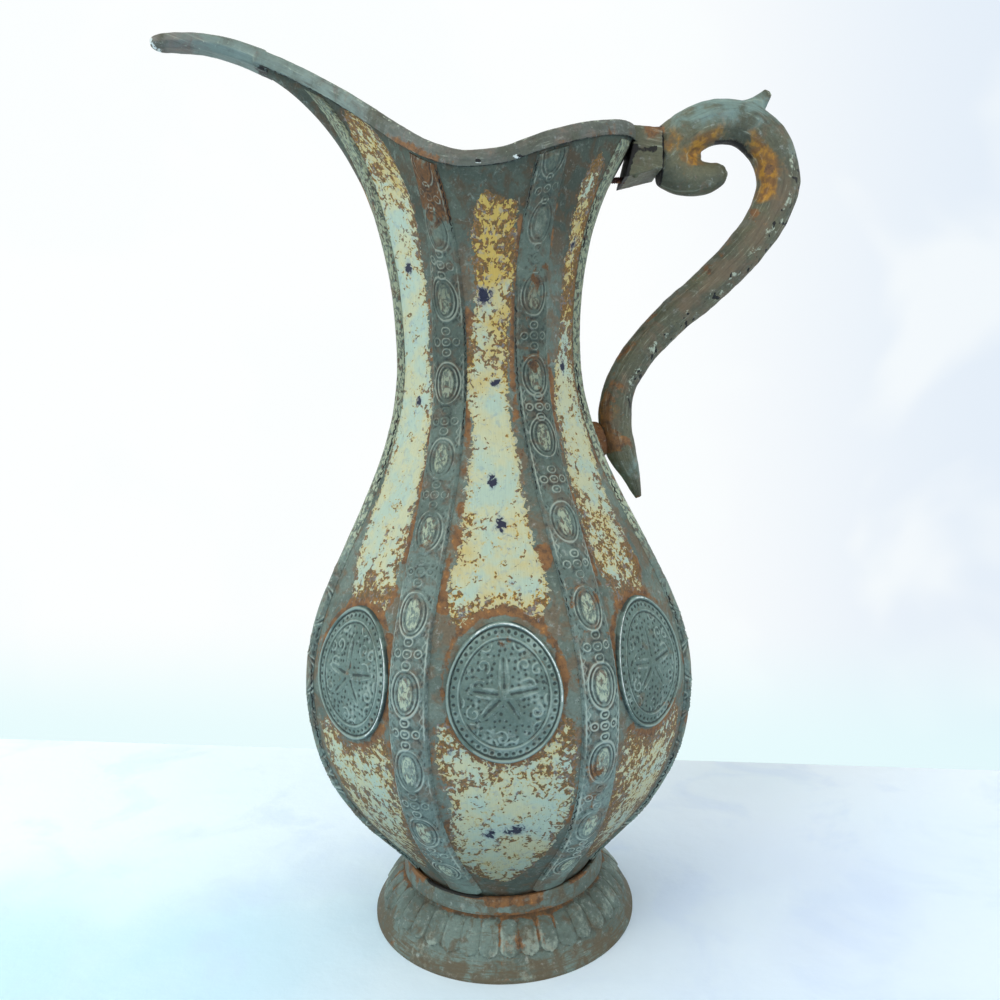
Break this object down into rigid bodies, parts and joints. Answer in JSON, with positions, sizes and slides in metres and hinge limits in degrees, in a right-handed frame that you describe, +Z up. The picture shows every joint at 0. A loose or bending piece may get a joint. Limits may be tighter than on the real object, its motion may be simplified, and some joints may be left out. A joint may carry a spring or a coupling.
{
  "type": "footed metal jug",
  "caption": "Pear-shaped sheet-metal jug on a fluted foot, with cover strips, oval medallions, an open gutter spout and a cast scroll handle.",
  "frame": {"origin": "on the floor under the jug's vertical axis", "axes": "+Z up, -X towards the spout, +X towards the handle, the jug is the same on both sides of the XZ plane"},
  "size_m": [0.3066, 0.1844, 0.4302],
  "materials": {
    "painted_panels": "cream and pale green paint over sheet metal, mottled with ochre rust",
    "pressed_ornament": "grey-green patina on pressed sheet, worn pale on the raised edges",
    "foot_metal": "grey-green and brown patina, pale on the flutes",
    "rim_metal": "grey-brown patina with teal along the spout and bare chips",
    "handle_casting": "grey-green patina over brown casting with ochre wear",
    "rusted_iron": "orange-brown rust"
  },
  "bodies": {
    "root": {"panel_handle": "painted_panels", "panel_handle_back": "painted_panels", "panel_back": "painted_panels", "panel_spout_back": "painted_panels", "panel_spout": "painted_panels", "panel_spout_front": "painted_panels", "panel_front": "painted_panels", "panel_handle_front": "painted_panels", "medallion_handle": "pressed_ornament", "medallion_handle_back": "pressed_ornament", "medallion_back": "pressed_ornament", "medallion_spout_back": "pressed_ornament", "medallion_spout": "pressed_ornament", "medallion_spout_front": "pressed_ornament", "medallion_front": "pressed_ornament", "medallion_handle_front": "pressed_ornament", "strip_handle_back": "pressed_ornament", "strip_back_handle": "pressed_ornament", "strip_back_spout": "pressed_ornament", "strip_spout_back": "pressed_ornament", "strip_spout_front": "pressed_ornament", "strip_front_spout": "pressed_ornament", "strip_front_handle": "pressed_ornament", "strip_handle_front": "pressed_ornament", "body_bottom": "rusted_iron", "foot_collar": "foot_metal", "foot_skirt": "foot_metal", "rim_trim": "rim_metal", "handle": "handle_casting", "handle_shoe": "handle_casting", "handle_screw": "rusted_iron", "handle_boss": "rusted_iron"}
  },
  "joints": []
}
